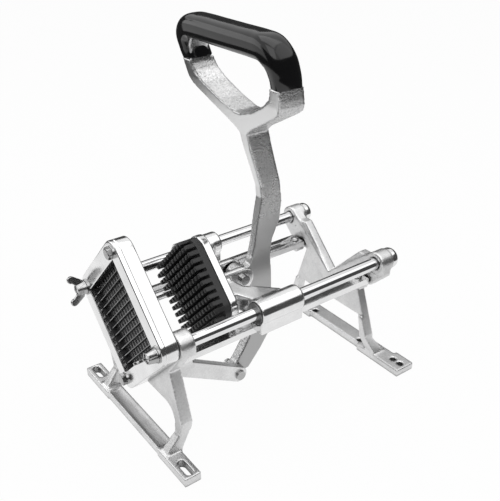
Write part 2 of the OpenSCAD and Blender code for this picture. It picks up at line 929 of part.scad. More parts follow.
module loop_side() {
    // the hand loop's metal from the side, up to the grip's ends
    a = pivot_x - 117.5;
    polygon([
        [a + 137.1, loop_top - 130], [a + 131.8, loop_top - 113], [a + 128.5, loop_top - 99],
        [a + 115.5, loop_top - 58], [a + 112.2, grip_end_z],
        [a + 138.5, grip_end_z], [a + 153.5, loop_top - 101], [a + 161.1, loop_top - 130]
    ]);
}

module core_side() {
    // the bar inside the grip from the side
    a = pivot_x - 117.5;
    g = grip_t;
    polygon([
        [a + 112.4 + g, grip_end_z - 1], [a + 107.5 + g, loop_top - 20], [a + 107.5 + g, loop_top - 10],
        [a + 110 + g, loop_top - g - 2.5], [a + 124 - g, loop_top - g - 2.5], [a + 129 - g, loop_top - 10],
        [a + 132 - g, loop_top - 18], [a + 138.5 - g, grip_end_z - 1]
    ]);
}

module loop_metal() {
    // the hand loop seen along the rods, from its narrow root up to the bar inside the grip
    polygon([
        [-stem_t / 2, loop_top - 132], [stem_t / 2, loop_top - 132], [stem_t / 2 + 0.6, loop_top - 98],
        [14, loop_top - 91.5], [56, loop_top - 69], [63, loop_top - 64.4],
        [66.4, loop_top - 59], [loop_y - 1.5, loop_top - 52], [loop_y, loop_top - 42],
        [loop_y + 2.6, loop_top - 27], [loop_y + 2, loop_top - 17],
        [loop_y - 4, loop_top - 8], [loop_y - 14, loop_top - grip_t], [-loop_y + 14, loop_top - grip_t],
        [-loop_y + 4, loop_top - 8], [-loop_y - 2, loop_top - 17], [-loop_y - 2.6, loop_top - 27],
        [-loop_y, loop_top - 42],
        [-loop_y + 1.5, loop_top - 52], [-66.4, loop_top - 59], [-63, loop_top - 64.4],
        [-56, loop_top - 69], [-14, loop_top - 91.5], [-stem_t / 2 - 0.6, loop_top - 98]
    ]);
}

module loop_window(g) {
    // the finger opening, made smaller by the grip's thickness g at its top
    polygon([
        [-4, loop_top - 77.4], [4, loop_top - 77.4], [23, loop_top - 71], [45, loop_top - 59.6],
        [loop_in_y - 4, loop_top - 52], [loop_in_y - 0.8, loop_top - 45],
        [loop_in_y - g, loop_top - 40], [loop_in_y - 1 - g, loop_top - 32],
        [loop_in_y - 7 - g, loop_top - 23 - g],
        [loop_in_y - 16 - g, loop_top - 19.6 - g], [-loop_in_y + 16 + g, loop_top - 19.6 - g],
        [-loop_in_y + 7 + g, loop_top - 23 - g],
        [-loop_in_y + 1 + g, loop_top - 32], [-loop_in_y + g, loop_top - 40],
        [-loop_in_y + 0.8, loop_top - 45], [-loop_in_y + 4, loop_top - 52],
        [-45, loop_top - 59.6], [-23, loop_top - 71]
    ]);
}

module loop_ring(g) {
    difference() {
        loop_metal();
        loop_window(g);
    }
}

module loop_core() {
    // the bar that the grip is closed around
    intersection() {
        xz(-loop_y - 20, 2 * loop_y + 40)
            core_side();
        yz(pivot_x - 60, 120)
            loop_ring(0);
    }
}

module lever() {
    color([0.7, 0.7, 0.7])
        difference() {
            union() {
                xz(-lever_t / 2, lever_t)
                    lever_low();
                xz(-stem_t / 2, stem_t)
                    stem_side();
                intersection() {
                    xz(-loop_y - 20, 2 * loop_y + 40)
                        loop_side();
                    yz(pivot_x - 60, 120)
                        loop_ring(0);
                }
                loop_core();
            }
            translate([pivot_x, 0, axis_z])
                along_y(-lever_t, 2 * lever_t, pin_r + run_fit);
            translate([foot_pin_x, 0, foot_pin_z])
                along_y(-lever_t, 2 * lever_t, pin_r + seat_fit);
        }
}

module grip_side() {
    a = pivot_x - 117.5;
    polygon([
        [a + 111.8, grip_end_z], [a + 106.2, loop_top - 22], [a + 103.2, loop_top - 10],
        [a + 104, loop_top - 4.5], [a + 107.5, loop_top - 1],
        [a + 112, loop_top], [a + 122, loop_top], [a + 127, loop_top - 2.5], [a + 130.4, loop_top - 8],
        [a + 133, loop_top - 18], [a + 139, grip_end_z]
    ]);
}

module grip() {
    g = grip_t;
    color([0.05, 0.05, 0.05])
        difference() {
            intersection() {
                xz(-loop_y - 20, 2 * loop_y + 40)
                    grip_side();
                yz(pivot_x - 60, 120)
                    difference() {
                        polygon([
                            [-loop_y - g, grip_end_z], [loop_y + g, grip_end_z],
                            [loop_y + g + 2.2, loop_top - 27],
                            [loop_y + g + 1.6, loop_top - 17], [loop_y + g - 1.6, loop_top - 10],
                            [loop_y + g - 8, loop_top - 3.4],
                            [loop_y + g - 18, loop_top], [-loop_y - g + 18, loop_top],
                            [-loop_y - g + 8, loop_top - 3.4], [-loop_y - g + 1.6, loop_top - 10],
                            [-loop_y - g - 1.6, loop_top - 17],
                            [-loop_y - g - 2.2, loop_top - 27]
                        ]);
                        loop_window(g);
                    }
            }
            loop_core();
        }
}

module foot_pin() {
    color([0.76, 0.76, 0.76])
        translate([foot_pin_x, 0, foot_pin_z]) {
            along_y(-lever_t / 2, lever_t + 1, pin_r);
            along_y(lever_t / 2, 3, pin_head_r + 0.5);
        }
}

// ---- link
module link_bar() {
    dx = foot_pin_x - link_x;
    dz = foot_pin_z - link_pin_z;
    len = sqrt(dx * dx + dz * dz);
    ang = atan2(dz, dx);
    color([0.74, 0.74, 0.74])
        difference() {
            xz(-link_out, link_t) {
                translate([link_x, link_pin_z])
                    rotate(ang) {
                        circle(r = link_r);
                        translate([0, -link_r])
                            square([len, 2 * link_r]);
                        translate([len, 0])
                            circle(r = link_r);
                    }
            }
            translate([link_x, 0, link_pin_z])
                along_y(-link_out - eps, link_t + 1, pin_r + run_fit);
            translate([foot_pin_x, 0, foot_pin_z])
                along_y(-link_out - eps, link_t + 1, pin_r + seat_fit);
        }
}

module link_pin() {
    color([0.76, 0.76, 0.76])
        translate([foot_pin_x, 0, foot_pin_z]) {
            along_y(-link_out - 0.5, link_t + 0.5, pin_r);
            along_y(-link_out - 2.6, 2.6, pin_head_r);
        }
}

module link_bolt() {
    color([0.75, 0.75, 0.75])
        translate([link_x, 0, link_pin_z]) {
            along_y(-link_out - 0.8, link_out + lever_t / 2 + 6, pin_r);
            translate([0, -link_out - 0.3, 0])
                rotate([90, 0, 0])
                    cylinder(r = 6.5, h = 4, $fn = 6);
        }
}

module link_nut() {
    color([0.72, 0.72, 0.72])
        translate([link_x, lever_t / 2, link_pin_z])
            difference() {
                rotate([-90, 0, 0])
                    cylinder(r = 6.5, h = 4.5, $fn = 6);
                along_y(-eps, 6, pin_r + seat_fit);
            }
}

front_stand();
rear_stand();
blade_housing();
bezel();
clamp_bars();
knives_front();
knives_rear();
bezel_bolts();
bolt_washers();
wing_washers();
rod_near();
rod_far();
rod_caps();
rail_near();
rail_far();
rail_screws();
link_bolt();
link_nut();
wing_nut_near();
wing_nut_far();
carriage();
bushes();
pusher_block();
pusher_screws();
clevis_pin();
clevis_clip();
lever();
grip();
foot_pin();
link_bar();
link_pin();
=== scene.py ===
"""Lever french fry cutter: the visual model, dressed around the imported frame.

Every length is in metres and every piece lies in the frame's own coordinates: +X runs along the rods from the
blade end to the back, +Y to the far side and +Z up. The origin is on the worktop, midway between the front
slots.
"""
import logging
import math
from dataclasses import dataclass
from enum import Enum

import bmesh
import bpy
import numpy as np
from mathutils import Matrix, Vector


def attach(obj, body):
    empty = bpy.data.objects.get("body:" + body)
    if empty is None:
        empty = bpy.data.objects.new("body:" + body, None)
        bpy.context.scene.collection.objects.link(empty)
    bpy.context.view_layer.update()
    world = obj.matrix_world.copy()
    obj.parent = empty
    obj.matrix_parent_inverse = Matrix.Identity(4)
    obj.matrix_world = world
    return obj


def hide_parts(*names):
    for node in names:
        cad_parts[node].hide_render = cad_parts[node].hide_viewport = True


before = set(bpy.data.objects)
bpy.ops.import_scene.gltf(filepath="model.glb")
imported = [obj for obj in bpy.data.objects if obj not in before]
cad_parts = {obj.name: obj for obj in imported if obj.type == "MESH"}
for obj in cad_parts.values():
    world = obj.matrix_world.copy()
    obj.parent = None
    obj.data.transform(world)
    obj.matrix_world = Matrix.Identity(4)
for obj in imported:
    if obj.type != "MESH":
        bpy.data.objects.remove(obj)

LOG = logging.getLogger("cutter")
MM = 0.001
ROOT_HALF = math.sqrt(0.5)

# The height of the rods and of the knife grid's centre, the side of the square opening that stands on its
# corner, and the distance from its centre to a corner.
AXIS_Z = 124.2 * MM
OPENING = 84 * MM
CORNER_REACH = OPENING * ROOT_HALF

Triple = tuple[float, float, float]
Colour = Triple
Section = list[Triple]
Signal = bpy.types.NodeSocket | float | tuple
Piece = bpy.types.Object


def grey(level: float, blue: float = 0.0) -> Colour:
    """A grey of a level, with a touch more blue where asked."""
    return level, level, level + blue


class Body(Enum):
    """The bodies that pieces ride on."""

    FRAME = "frame"
    CARRIAGE = "carriage"
    LEVER = "lever"
    LINK = "link"
    NEAR_NUT = "near_wing_nut"
    FAR_NUT = "far_wing_nut"


class Slot(Enum):
    """The record's material slots."""

    CAST = "cast"
    POLISHED = "polished"
    CHROME = "chrome_rod"
    FASTENER = "fastener"
    BLADE = "blade_steel"
    BAR = "bar_steel"
    BUSH = "bush"
    PUSHER = "pusher_black"
    GRIP = "grip_black"


class Look(Enum):
    """Finishes that differ from their slot's usual one."""

    LEVER = "rough_cast"
    PAINTED_SHADE_REAR_KNIFE = "rear_knife"


# -------- shader groups and finishes
class NodeSheet:
    """A small hand for wiring one node tree."""

    def __init__(self, tree: bpy.types.NodeTree) -> None:
        """Keeps the tree that the nodes go into."""
        self.tree = tree

    @classmethod
    def blank(cls, owner: bpy.types.Material | bpy.types.World) -> "NodeSheet":
        """Empties a node tree and starts a sheet for it.

        Args:
            owner: the material or the world that has the tree.

        Returns:
            The sheet.
        """
        owner.use_nodes = True
        owner.node_tree.nodes.clear()
        return cls(owner.node_tree)

    def add(self, kind: str, settings: dict | None = None, **inputs: Signal) -> bpy.types.Node:
        """Adds a node.

        Args:
            kind: the node's type name, without its ShaderNode start.
            settings: attributes to set on the node.
            inputs: values or output sockets, by socket name with _ for a space, or by number as i0, i1.

        Returns:
            The new node.
        """
        node = self.tree.nodes.new("ShaderNode" + kind)
        for key, value in (settings or {}).items():
            setattr(node, key, value)
        for key, value in inputs.items():
            numbered = key[0] == "i" and key[1:].isdigit()
            socket = node.inputs[int(key[1:]) if numbered else key.replace("_", " ")]
            if isinstance(value, bpy.types.NodeSocket):
                self.tree.links.new(value, socket)
            else:
                socket.default_value = value
        return node

    def math(self, operation: str, first: Signal, second: Signal = 0.0, clamp: bool = False) -> Signal:
        """Adds a Math node and returns its output."""
        return self.add("Math", {"operation": operation, "use_clamp": clamp}, i0=first, i1=second).outputs[0]

    def spread(self, value: Signal, low: float, high: float, to_low: float = 0.0,
               to_high: float = 1.0) -> Signal:
        """Maps a value from one range to another, clamped, and returns the output."""
        node = self.add("MapRange", {"clamp": True}, i0=value, i1=low, i2=high, i3=to_low, i4=to_high)
        return node.outputs[0]

    def mix(self, mask: Signal, first: Signal, second: Signal) -> Signal:
        """Mixes two colours by a mask and returns the colour."""
        return self.add("Mix", {"data_type": "RGBA"}, i0=mask, i6=first, i7=second).outputs[2]

    def noise(self, where: Signal, scale: Signal, detail: float = 3.0, rough: float = 0.5) -> Signal:
        """Adds a Noise texture on coordinates and returns its value."""
        return self.add("TexNoise", Vector=where, Scale=scale, Detail=detail, Roughness=rough).outputs[0]

    def facing(self) -> bpy.types.Node:
        """Adds the surface's normal, split into X, Y and Z."""
        return self.add("SeparateXYZ", i0=self.add("NewGeometry").outputs["Normal"])

    def seen(self) -> Signal:
        """Adds a mask of the rays that show a surface to the camera, in reflections or through glass.

        Returns:
            The mask.
        """
        path = self.add("LightPath")
        mask = self.math("ADD", path.outputs["Is Camera Ray"], path.outputs["Is Glossy Ray"], clamp=True)
        return self.math("ADD", mask, path.outputs["Is Transmission Ray"], clamp=True)


class ShaderGroups:
    """The effects that several finishes share, each built once as a node group."""

    def __init__(self) -> None:
        """Builds the groups."""
        self.grain = self._grain()
        self.edges = self._edges()
        self.marks = self._marks()

    @staticmethod
    def _open(name: str, inputs: dict[str, tuple[str, Signal | None]], outputs: dict[str, str]) -> tuple:
        """Makes an empty group with named sockets.

        Args:
            name: the group's name.
            inputs: socket kind and default value, by name.
            outputs: socket kind, by name.

        Returns:
            The group, its node sheet, its input node and its output node.
        """
        group = bpy.data.node_groups.new(name, "ShaderNodeTree")
        for key, (kind, value) in inputs.items():
            socket = group.interface.new_socket(key, in_out="INPUT", socket_type="NodeSocket" + kind)
            if value is not None:
                socket.default_value = value
        for key, kind in outputs.items():
            group.interface.new_socket(key, in_out="OUTPUT", socket_type="NodeSocket" + kind)
        start = group.nodes.new("NodeGroupInput")
        end = group.nodes.new("NodeGroupOutput")
        return group, NodeSheet(group), start, end

    def _grain(self) -> bpy.types.NodeTree:
        """Cast skin: a fine noise and sparse pits give a height, and a slow noise gives cloudy patches.

        Returns:
            The group.
        """
        group, sheet, start, end = self._open(
            "cast_skin",
            {"Vector": ("Vector", None), "Scale": ("Float", 900.0), "Pits": ("Float", 0.4)},
            {"Height": "Float", "Speckle": "Float", "Patch": "Float"},
        )
        where, scale = start.outputs["Vector"], start.outputs["Scale"]
        fine = sheet.noise(where, scale, 4.0, 0.6)
        sparse = sheet.math("MULTIPLY", scale, 0.55)
        cell = sheet.add("TexVoronoi", Vector=where, Scale=sparse).outputs["Distance"]
        pits = sheet.math("MULTIPLY", sheet.spread(cell, 0.0, 0.28, 1.0, 0.0), start.outputs["Pits"])
        height = sheet.math("SUBTRACT", fine, pits)
        speckle = sheet.spread(height, 0.25, 0.7)
        patch = sheet.spread(sheet.noise(where, 55.0, 3.0, 0.55), 0.32, 0.68)
        for key, value in {"Height": height, "Speckle": speckle, "Patch": patch}.items():
            group.links.new(value, end.inputs[key])
        return group

    def _edges(self) -> bpy.types.NodeTree:
        """Edge wear: where the surface's rounded normal leaves its own normal, broken up by a noise.

        Returns:
            The group.
        """
        group, sheet, start, end = self._open(
            "edge_rub",
            {"Vector": ("Vector", None), "Width": ("Float", 0.0012)},
            {"Mask": "Float"},
        )
        soft = sheet.add("Bevel", {"samples": 4}, Radius=start.outputs["Width"]).outputs[0]
        true = sheet.add("NewGeometry").outputs["Normal"]
        near = sheet.add("VectorMath", {"operation": "DOT_PRODUCT"}, i0=soft, i1=true).outputs["Value"]
        edge = sheet.spread(near, 0.995, 0.86)
        broken = sheet.spread(sheet.noise(start.outputs["Vector"], 420.0, 2.0), 0.3, 0.6, 0.45, 1.0)
        group.links.new(sheet.math("MULTIPLY", edge, broken), end.inputs["Mask"])
        return group

    def _marks(self) -> bpy.types.NodeTree:
        """Polishing marks: noise drawn out along X gives fine lines, and a slow noise gives smears.

        Returns:
            The group.
        """
        group, sheet, start, end = self._open(
            "polish_marks",
            {"Vector": ("Vector", None), "Stretch": ("Vector", (120.0, 4200.0, 4200.0))},
            {"Lines": "Float", "Smear": "Float"},
        )
        where, stretch = start.outputs["Vector"], start.outputs["Stretch"]
        drawn = sheet.add("VectorMath", {"operation": "MULTIPLY"}, i0=where, i1=stretch).outputs[0]
        group.links.new(sheet.noise(drawn, 1.0, 2.0), end.inputs["Lines"])
        group.links.new(sheet.spread(sheet.noise(where, 38.0, 4.0, 0.6), 0.3, 0.7), end.inputs["Smear"])
        return group


@dataclass(frozen=True)
class MetalFinish:
    """A metal: its colours, its roughness range and how much of each surface effect shows.

    The dark colour is that of its smears. Only the lever has ground faces, its sides below the turn height and
    its front above it, and the sides' darker colour is painted shade. Only the knives get a painted highlight
    on their edges, which reaches back to a place along X. The painted shade tone darkens its inner corners,
    and the stretch draws the polishing marks out along each axis.
    """

    name: str
    light: Colour
    dark: Colour
    rough_low: float
    rough_high: float
    grain: float = 0.0
    grain_scale: float = 900.0
    pits: float = 0.4
    edge: Colour | None = None
    edge_width: float = 0.0012
    ground_rough: float | None = None
    painted_side_shade: Colour = (0.4, 0.4, 0.4)
    turn_height: float = 0.18
    painted_shade_tone: float | None = None
    painted_knife_highlight: Colour | None = None
    painted_knife_highlight_back: float = -1.0
    wave: float = 0.0
    stretch: Triple = (120.0, 4200.0, 4200.0)

    def make(self, groups: ShaderGroups) -> bpy.types.Material:
        """Builds the material.

        Args:
            groups: the shared shader groups.

        Returns:
            The finished material.
        """
        material = bpy.data.materials.new(self.name)
        sheet = NodeSheet.blank(material)
        where = sheet.add("TexCoord").outputs["Object"]
        skin = sheet.add("Group", {"node_tree": groups.grain}, Vector=where, Scale=self.grain_scale,
                         Pits=self.pits)
        marks = sheet.add("Group", {"node_tree": groups.marks}, Vector=where, Stretch=self.stretch)
        colour = self.metal(sheet, skin.outputs["Speckle"], marks.outputs["Smear"])
        uneven = sheet.math("ADD", sheet.math("MULTIPLY", skin.outputs["Patch"], 0.6),
                            sheet.math("MULTIPLY", marks.outputs["Lines"], 0.4))
        rough = sheet.spread(uneven, 0.1, 0.9, self.rough_low, self.rough_high)
        depth = self.grain
        if self.ground_rough is not None:
            side, ground = self.ground_faces(sheet, where)
            polished = sheet.add("Mix", {"data_type": "FLOAT"}, i0=ground, i2=rough, i3=self.ground_rough)
            rough = polished.outputs[0]
            depth = sheet.spread(ground, 0.0, 1.0, self.grain, self.grain * 0.35)
            colour = sheet.mix(ground, colour, (*self.light, 1))
            # painted shade: the lever's sides below the turn height get a darker colour; their smoothness is
            # the real ground finish
            colour = sheet.mix(side, colour, (*self.painted_side_shade, 1))
        height = sheet.math("MULTIPLY", skin.outputs["Height"], depth)
        if self.wave:
            slow = sheet.math("MULTIPLY", sheet.noise(where, 24.0, 2.0), self.wave)
            height = sheet.math("ADD", height, slow)
        colour = self.wear_and_painted_light(sheet, groups, where, colour)
        bump = sheet.add("Bump", Strength=0.6, Distance=0.0005, Height=height).outputs[0]
        shader = sheet.add("BsdfPrincipled", Metallic=1.0, Base_Color=colour, Roughness=rough, Normal=bump)
        sheet.add("OutputMaterial", Surface=shader.outputs[0])
        return material

    def metal(self, sheet: NodeSheet, speckle: Signal, smear: Signal) -> Signal:
        """Wires the colour of the bare metal: smears of the dark tone, and darker grain where the skin is low.

        Args:
            sheet: the material's sheet.
            speckle: the cast skin's mask, which is 0 where it is low.
            smear: the mask of the smears.

        Returns:
            The colour.
        """
        colour = sheet.mix(sheet.math("MULTIPLY", smear, 0.6), (*self.light, 1), (*self.dark, 1))
        if self.grain:
            amount = sheet.math("MULTIPLY", sheet.math("SUBTRACT", 1.0, speckle), min(1.0, self.grain * 1.4))
            colour = sheet.mix(amount, colour, (*[c * 0.62 for c in self.dark], 1))
        return colour

    def ground_faces(self, sheet: NodeSheet, where: Signal) -> tuple[Signal, Signal]:
        """Masks the lever's ground faces.

        Args:
            sheet: the material's sheet.
            where: the place on the object.

        Returns:
            The mask of the sides, and the mask of all the ground faces.
        """
        facing = sheet.facing()
        side = sheet.spread(sheet.math("ABSOLUTE", facing.outputs[1]), 0.75, 0.95)
        front = sheet.spread(facing.outputs[0], -0.75, -0.95)
        tall = sheet.add("SeparateXYZ", i0=where).outputs[2]
        upper = sheet.spread(tall, self.turn_height - 0.03, self.turn_height + 0.03)
        side = sheet.math("MULTIPLY", side, sheet.math("SUBTRACT", 1.0, upper))
        return side, sheet.math("ADD", side, sheet.math("MULTIPLY", front, upper), clamp=True)

    def wear_and_painted_light(self, sheet: NodeSheet, groups: ShaderGroups, where: Signal, colour: Signal) -> Signal:
        """Wires wear and painted light into the colour: rubbed edges, a painted highlight on the knives' edges
        and painted shade in hollows.

        Args:
            sheet: the material's sheet.
            groups: the shared shader groups.
            where: the place on the object.
            colour: the colour so far.

        Returns:
            The colour with these over it.
        """
        if self.edge:
            rub = sheet.add("Group", {"node_tree": groups.edges}, Vector=where, Width=self.edge_width)
            colour = sheet.mix(rub.outputs["Mask"], colour, (*self.edge, 1))
        # painted highlight: the knives' faces along X, and their front up to a place along X, get a brighter
        # colour
        if self.painted_knife_highlight:
            along = sheet.add("SeparateXYZ", i0=where).outputs[0]
            forward = sheet.spread(along, self.painted_knife_highlight_back, self.painted_knife_highlight_back - 0.2 * MM)
            square = sheet.spread(sheet.math("ABSOLUTE", sheet.facing().outputs[0]), 0.75, 0.9)
            colour = sheet.mix(sheet.math("MAXIMUM", square, forward), colour, (*self.painted_knife_highlight, 1))
        # painted shade: the colour darkens where ambient occlusion finds the surface closed in, in hollows and
        # corners
        if self.painted_shade_tone is not None:
            open_share = sheet.add("AmbientOcclusion", {"samples": 6}, Distance=10 * MM).outputs["AO"]
            colour = sheet.mix(sheet.spread(open_share, 0.66, 0.28), colour, (*grey(self.painted_shade_tone), 1))
        return colour


@dataclass(frozen=True)
class PlasticFinish:
    """A moulded plastic: its colour and its worn edges', its roughness range, its skin and its shine."""

    name: str
    base: Colour
    worn: Colour
    rough_low: float
    rough_high: float
    skin: float
    skin_scale: float
    shine: float

    def make(self, groups: ShaderGroups) -> bpy.types.Material:
        """Builds the material.

        Args:
            groups: the shared shader groups.

        Returns:
            The finished material.
        """
        material = bpy.data.materials.new(self.name)
        sheet = NodeSheet.blank(material)
        where = sheet.add("TexCoord").outputs["Object"]
        skin = sheet.add("Group", {"node_tree": groups.grain}, Vector=where, Scale=self.skin_scale, Pits=0.1)
        rub = sheet.add("Group", {"node_tree": groups.edges}, Vector=where, Width=0.6 * MM)
        wear_and_painted_light = sheet.math("MULTIPLY", rub.outputs["Mask"], 0.6)
        colour = sheet.mix(wear_and_painted_light, (*self.base, 1), (*self.worn, 1))
        rough = sheet.spread(skin.outputs["Patch"], 0.0, 1.0, self.rough_low, self.rough_high)
        height = sheet.math("MULTIPLY", skin.outputs["Height"], self.skin)
        bump = sheet.add("Bump", Strength=0.4, Distance=0.0002, Height=height).outputs[0]
        shader = sheet.add("BsdfPrincipled", Metallic=0.0, Base_Color=colour, Roughness=rough, Normal=bump,
                           Specular_IOR_Level=self.shine)
        sheet.add("OutputMaterial", Surface=shader.outputs[0])
        return material


# Some finishes paint light into the colour: painted shade in hollows and on the lever's lower sides, and
# painted highlights on the knives' edges.
FINISHES: dict[Slot | Look, MetalFinish | PlasticFinish] = {
    Slot.CAST: MetalFinish("cast_aluminium", grey(0.84), grey(0.56, 0.003), 0.32, 0.46, grain=0.22,
                           grain_scale=700.0, edge=grey(0.85), wave=0.8,
                           painted_shade_tone=0.04),
    Look.LEVER: MetalFinish("rough_cast_aluminium", grey(0.74), grey(0.62, 0.003), 0.2, 0.34, grain=1.0,
                            grain_scale=620.0, pits=0.6, edge=grey(0.8), ground_rough=0.3, painted_shade_tone=0.12),
    Slot.POLISHED: MetalFinish("polished_aluminium", grey(0.84), grey(0.64, 0.005), 0.1, 0.24, grain=0.05,
                               edge=grey(0.9), edge_width=0.8 * MM, wave=0.6),
    Slot.CHROME: MetalFinish("plated_rod", grey(0.78, 0.005), grey(0.66, 0.005), 0.05, 0.1, wave=0.02,
                             stretch=(6000.0, 90.0, 90.0)),
    Slot.FASTENER: MetalFinish("plated_fastener", grey(0.5), grey(0.3), 0.16, 0.32, grain=0.12, edge=grey(0.8),
                               edge_width=0.5 * MM),
    Slot.BLADE: MetalFinish("knife_strip", grey(0.21, 0.003), grey(0.14, 0.002), 0.34, 0.48, grain=0.05,
                            painted_knife_highlight=grey(0.22)),
    # the rear knives are the same steel as the front ones, painted darker as painted shade, with a painted
    # highlight on their front edges
    Look.PAINTED_SHADE_REAR_KNIFE: MetalFinish("painted_shade_rear_knife_strip", grey(0.12, 0.002), grey(0.08, 0.002), 0.4, 0.55,
                                 grain=0.05, painted_knife_highlight=grey(0.42), painted_knife_highlight_back=2.1 * MM),
    Slot.BAR: MetalFinish("clamp_bar", grey(0.1, 0.002), grey(0.06, 0.002), 0.4, 0.55, grain=0.1),
    Slot.BUSH: MetalFinish("sintered_bush", grey(0.3), grey(0.17), 0.3, 0.45, grain=0.3, edge=grey(0.55),
                           edge_width=0.4 * MM),
    Slot.PUSHER: PlasticFinish("black_nylon", grey(0.028, 0.0005), grey(0.045, 0.001), 0.36, 0.48, skin=0.4,
                               skin_scale=1500.0, shine=0.42),
    Slot.GRIP: PlasticFinish("gloss_black_grip", grey(0.004, 0.0005), grey(0.012), 0.1, 0.16, skin=0.03,
                             skin_scale=700.0, shine=0.5),
}


# -------- mesh hands
def put(name: str, data: bpy.types.ID) -> Piece:
    """Makes an object and links it to the scene.

    Args:
        name: the object's name.
        data: its mesh, lamp or camera.

    Returns:
        The new object.
    """
    obj = bpy.data.objects.new(name, data)
    bpy.context.scene.collection.objects.link(obj)
    return obj


class Workshop:
    """Makes objects from grids of points, dresses them and hands them to the frame."""

    def __init__(self) -> None:
        """Builds the finishes once."""
        groups = ShaderGroups()
        self.materials = {key: finish.make(groups) for key, finish in FINISHES.items()}

    def surface(self, name: str, grid: np.ndarray, wrap_rows: bool = False) -> Piece:
        """Makes one closed skin from a grid of points whose columns run round.

        Args:
            name: the object's name.
            grid: points in metres, rows by columns by 3.
            wrap_rows: joins the last row to the first, which are otherwise closed with a face each.

        Returns:
            The new object, with outward faces.
        """
        rows, columns = grid.shape[:2]
        index = np.arange(rows * columns).reshape(rows, columns)
        full = np.concatenate([index, index[:1]]) if wrap_rows else index
        full = np.concatenate([full, full[:, :1]], axis=1)
        quads = np.stack([full[:-1, :-1], full[:-1, 1:], full[1:, 1:], full[1:, :-1]], -1)
        faces = quads.reshape(-1, 4).tolist()
        if not wrap_rows:
            faces += [index[0, ::-1].tolist(), index[-1].tolist()]
        return self.solid(name, grid.reshape(-1, 3), faces)

    def solid(self, name: str, points: np.ndarray, faces: list[list[int]]) -> Piece:
        """Makes a mesh object from points and faces, merges doubles and turns the faces outwards.

        Args:
            name: the object's name.
            points: points in metres, by 3.
            faces: the points of each face, by number.

        Returns:
            The new object.
        """
        mesh = bpy.data.meshes.new(name)
        mesh.from_pydata(points.tolist(), [], faces)
        self.weld(mesh)
        mesh.shade_smooth()
        mesh.set_sharp_from_angle(angle=math.radians(35))
        return put(name, mesh)

    @staticmethod
    def weld(mesh: bpy.types.Mesh, normals: bool = True) -> None:
        """Merges a mesh's doubled points.

        Args:
            mesh: the mesh.
            normals: turns the faces outwards too.
        """
        work = bmesh.new()
        work.from_mesh(mesh)
        bmesh.ops.remove_doubles(work, verts=work.verts, dist=2e-6)
        if normals:
            bmesh.ops.recalc_face_normals(work, faces=work.faces)
        work.to_mesh(mesh)
        work.free()

    def node_copy(self, name: str, node: str) -> Piece:
        """Copies a CAD node's form as a piece of its own, bare and with its doubled points merged.

        Args:
            name: the piece's name.
            node: the CAD node whose form is copied.

        Returns:
            The new object.
        """
        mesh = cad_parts[node].data.copy()
        mesh.materials.clear()
        self.weld(mesh, normals=False)
        return put(name, mesh)

    def cast_copy(self, name: str, node: str, voxel: float, rounds: int) -> Piece:
        """Gives a CAD node's form the soft edges of a casting.

        The node's mesh is copied, rebuilt as an even skin of small faces and averaged, so each point moves
        towards its neighbours' mean and flat faces stay flat while corners get a radius.

        Args:
            name: the piece's name.
            node: the CAD node whose form is copied.
            voxel: the size of the skin's faces.
            rounds: how many times the points are averaged.

        Returns:
            The new object.
        """
        obj = self.node_copy(name, node)
        skin = obj.modifiers.new("skin", "REMESH")
        skin.mode, skin.voxel_size, skin.use_smooth_shade = "VOXEL", voxel, True
        soften = obj.modifiers.new("soften", "SMOOTH")
        soften.factor, soften.iterations = 0.5, rounds
        return self.freeze(obj)

    def bevel_copy(self, name: str, node: str, width: float) -> Piece:
        """Copies a CAD node's form and breaks its edges with a small bevel, for machined bar and plate.

        Args:
            name: the piece's name.
            node: the CAD node whose form is copied.
            width: the width of the bevel.

        Returns:
            The new object.
        """
        obj = self.node_copy(name, node)
        work = bmesh.new()
        work.from_mesh(obj.data)
        bmesh.ops.dissolve_limit(work, angle_limit=math.radians(1), verts=work.verts, edges=work.edges)
        work.to_mesh(obj.data)
        work.free()
        edge = obj.modifiers.new("edge", "BEVEL")
        edge.width, edge.segments, edge.limit_method = width, 3, "ANGLE"
        edge.angle_limit, edge.use_clamp_overlap = math.radians(40), True
        obj = self.freeze(obj)
        obj.data.shade_smooth()
        obj.data.set_sharp_from_angle(angle=math.radians(32))
        return obj

    @staticmethod
    def freeze(obj: Piece) -> Piece:
        """Replaces an object's mesh with what its modifiers make of it.

        Args:
            obj: the object.

        Returns:
            The same object, without modifiers.
        """
        bpy.context.view_layer.update()
        graph = bpy.context.evaluated_depsgraph_get()
        mesh = bpy.data.meshes.new_from_object(obj.evaluated_get(graph))
        obj.modifiers.clear()
        old, obj.data = obj.data, mesh
        bpy.data.meshes.remove(old)
        return obj

    def dress(self, obj: Piece, slot: Slot, body: Body, *nodes: str,
              look: Look | None = None) -> None:
        """Gives a piece its finish, its body and the CAD nodes that it stands for, and reports it.

        Args:
            obj: the piece.
            slot: its material slot.
            body: the body that it rides on.
            nodes: the CAD nodes that it replaces.
            look: its finish, where that isn't its slot's.
        """
        obj.data.materials.clear()
        obj.data.materials.append(self.materials[look or slot])
        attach(obj, body.value)
        if nodes:
            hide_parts(*nodes)
        LOG.info("%s rides on %s, %d faces", obj.name, body.value, len(obj.data.polygons))

    def keep(self, finish: Slot | Look, *nodes: str) -> None:
        """Gives CAD nodes that stay their finish.

        Args:
            finish: the slot or the look whose finish they get.
            nodes: the nodes' names.
        """
        for node in nodes:
            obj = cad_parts[node]
            obj.data.materials.clear()
            obj.data.materials.append(self.materials[finish])


